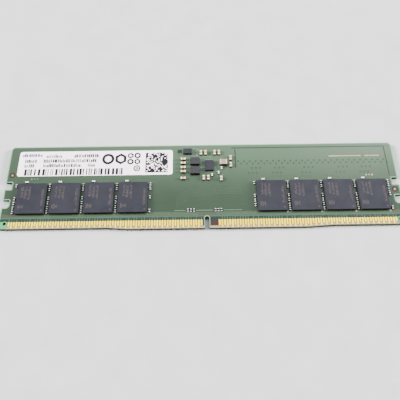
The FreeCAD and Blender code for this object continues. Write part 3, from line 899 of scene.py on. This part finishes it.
# Rows of small print on the label, as (first x, last x, top of the row).
PRINT_ROWS = ((-54.0, -48.5, 27.4), (-44.4, -36.0, 27.4), (-61.3, -57.5, 25.5), (-54.9, -51.0, 25.5),
              (-50.5, -42.3, 25.5), (-41.6, -36.5, 25.5), (-61.3, -58.4, 23.7), (-54.8, -42.0, 23.7),
              (-39.4, -37.0, 23.7))
BARS_LEFT = -61.0
BARS_RIGHT = -27.3
BARS_UP = 21.15
BAR_LENGTH = 2.5
CODE_LEFT = -19.5
CODE_BOTTOM = 20.5
CODE_CELLS = 19
CODE_CELL = 0.41
CODE_FILLED_SHARE = 0.64
# Outlines on the label, as (x, distance up, radius, stroke, sides).
OUTLINES = ((-32.5, 26.0, 2.15, 1.0, 40), (-28.1, 26.0, 2.2, 1.05, 6),
            (-22.4, 22.2, 1.2, 0.45, 28), (-22.4, 22.2, 0.5, 0.35, 20),
            (-24.75, 24.85, 1.15, 0.62, 20), (-24.75, 27.25, 1.15, 0.62, 6),
            (-22.35, 24.85, 1.15, 0.62, 6), (-22.35, 27.25, 1.15, 0.62, 20))


def make_chip_marks():
    """On each memory chip, strokes in four upright rows, five more at its foot, and a dot at pin one."""
    rng = random.Random(4)
    bm = bmesh.new()
    for low, high in CHIPS:
        centre = (low + high) / 2
        z = high.z
        for row_x, first, last in MARK_ROWS:
            y = first
            while y < last:
                stroke = rng.choice((0.12, 0.16, 0.2))
                tall = rng.choice((0.4, 0.62, MARK_SIZE, MARK_SIZE))
                x = row_x + (MARK_SIZE - tall) / 2
                add_plate(bm, centre.x + x * MM, centre.y + (y + stroke / 2) * MM, z,
                          tall * MM, stroke * MM, MARK_HEIGHT)
                y += stroke + rng.choice((0.1, 0.14, 0.3))
        for i in range(5):
            add_plate(bm, centre.x + (-3.85 + 0.4 * i) * MM, centre.y - 3.1 * MM, z, 0.2 * MM,
                      rng.choice((0.8, 1.2, 1.7)) * MM, MARK_HEIGHT)
        dimple = Vector((high.x - PIN_ONE_FROM_SIDE * MM, low.y + PIN_ONE_FROM_BOTTOM * MM,
                         z - PIN_ONE_DEPTH * MM))
        add_disc(bm, dimple, PIN_ONE_DOT_RADIUS * MM, MARK_HEIGHT)
    bmesh.ops.recalc_face_normals(bm, faces=bm.faces)
    make_piece("chip_markings", bm, materials["laser_mark"])


def add_ink(bm, x, middle_up, width, tall):
    """A printed rectangle on the label."""
    add_plate(bm, *on_board(x, middle_up, LABEL_TOP), width * MM, tall * MM, INK_HEIGHT)


def add_print_row(bm, rng, x, x_end, row_up, size, strokes):
    """A row of plain strokes that stands in for a line of small print."""
    while x < x_end:
        stroke = rng.choice(strokes)
        tall = size * rng.choice((1.0, 1.0, 0.72))
        add_ink(bm, x + stroke / 2, row_up - (size - tall) / 2, stroke, tall)
        x += stroke + rng.choice((0.12, 0.16, 0.3))


def make_label_print():
    """Everything printed on the label, all of it plain: strokes, bars, outlines and a field of cells."""
    rng = random.Random(11)
    bm = bmesh.new()
    for first, last, row_up in PRINT_ROWS:
        add_print_row(bm, rng, first, last, row_up, 1.3, (0.3, 0.4, 0.55))
    x = BARS_LEFT
    while x < BARS_RIGHT:
        stroke = rng.choice((0.3, 0.42, 0.6, 0.85))
        add_ink(bm, x + stroke / 2, BARS_UP, stroke, BAR_LENGTH)
        x += stroke + rng.choice((0.2, 0.3, 0.45, 0.7))
    for column in range(CODE_CELLS):
        for row in range(CODE_CELLS):
            solid_side = row == 0 or column == 0
            if solid_side or rng.random() < CODE_FILLED_SHARE:
                add_ink(bm, CODE_LEFT + (column + 0.5) * CODE_CELL, CODE_BOTTOM + (row + 0.5) * CODE_CELL,
                        CODE_CELL, CODE_CELL)
    for x, middle_up, radius, stroke, sides in OUTLINES:
        add_ring(bm, on_board(x, middle_up, LABEL_TOP), radius * MM, stroke * MM, INK_HEIGHT, sides)
    bmesh.ops.recalc_face_normals(bm, faces=bm.faces)
    make_piece("label_print", bm, materials["ink"])
    blue = bmesh.new()
    add_print_row(blue, rng, -62.4, -55.9, 27.8, 1.15, (0.5, 0.65))
    make_piece("label_print_blue", blue, materials["blue_ink"])


# ---------------------------------------------------------------- putting it together

pad_boxes = solids_of("bare_pads")
FIDUCIALS = [(low + high) / 2 for low, high in (pad_boxes[0], pad_boxes[-1])]
materials = {
    "mask": solder_mask_look("solder_mask"),
    "track": solder_mask_look("lacquer_over_tracks", 2.6, edge_band=False),
    "faint_track": solder_mask_look("lacquer_over_thin_tracks", 1.7, edge_band=False),
    "bright_track": solder_mask_look("lacquer_over_wide_tracks", 5.0, edge_band=False),
    "via": solder_mask_look("lacquer_over_vias", 1.7, gloss=0.2, edge_band=False),
    "gap": solder_mask_look("lacquer_over_gaps", 0.75, gloss=0.2, edge_band=False),
    "laminate": laminate_look(),
    "gold": gold_look(),
    "pads": bare_pad_look(),
    "copper": winding_look(),
    "solder": tin_look("solder", (0.20, 0.20, 0.19), (0.36, 0.36, 0.34), 1.0, 0.34),
    "tin": tin_look("tin_terminals", (0.78, 0.71, 0.40), (0.92, 0.85, 0.54), 0.3, 0.40),
    "small_tin": tin_look("small_tin_terminals", (0.82, 0.82, 0.77), (0.94, 0.94, 0.89), 0.3, 0.40),
    "dull_tin": tin_look("dull_tin_terminals", (0.36, 0.30, 0.23), (0.50, 0.42, 0.33), 0.3, 0.45),
    "moulding": moulding_look(),
    "laser_mark": laser_mark_look(),
    "substrate": substrate_look(),
    "silicon": silicon_look(),
    "capacitor": ceramic_look("capacitor_ceramic", (0.25, 0.16, 0.085), (0.38, 0.26, 0.15), 0.35),
    "small_capacitor": ceramic_look("small_capacitor_ceramic", (0.030, 0.024, 0.020), (0.055, 0.043, 0.034),
                                    0.35, paler_above=16.8),
    "resistor": ceramic_look("resistor_glaze", (0.006, 0.006, 0.009), (0.016, 0.016, 0.020), 0.25),
    "inductor": inductor_look(),
    "ferrite": ceramic_look("small_inductor_ferrite", (0.17, 0.105, 0.09), (0.25, 0.16, 0.14), 0.4),
    "paper": paper_look(),
    "ink": ink_look("black_ink", (0.006, 0.005, 0.008), (0.015, 0.013, 0.018)),
    "blue_ink": ink_look("blue_ink", (0.022, 0.018, 0.17), (0.05, 0.042, 0.27)),
}


def material_for(node):
    """The material of a CAD node that stays in view."""
    by_start = {"laminate": "laminate", "solder_mask": "mask", "contacts": "gold", "bare_pads": "pads",
                "label": "paper", "power_plane": "copper", "ground_plane": "copper"}
    by_end = {"_balls": "solder", "_pads": "solder", "_terminals": "tin", "_substrate": "substrate",
              "_die": "silicon", "_moulding": "moulding", "_body": "moulding", "_core": "inductor",
              "_windings": "copper", "capacitor_bodies": "capacitor", "resistor_bodies": "resistor"}
    if node == "inductor_right_core":
        return materials["ferrite"]
    if node == "inductor_terminals":
        return materials["dull_tin"]
    for start, material in by_start.items():
        if node.startswith(start):
            return materials[material]
    for end, material in by_end.items():
        if node.endswith(end):
            return materials[material]
    raise ValueError("no material for " + node)


make_camera()
make_studio()
for node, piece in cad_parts.items():
    piece.data.materials.clear()
    piece.data.materials.append(material_for(node))
chip_parts("bypass_capacitor", "small_capacitor", "small_tin", 0.95)
chip_parts("bulk_capacitor", "capacitor", "tin", 1.0)
chip_parts("resistor", "resistor", "small_tin", 0.8)
make_tracks()
make_vias()
make_chip_marks()
make_label_print()
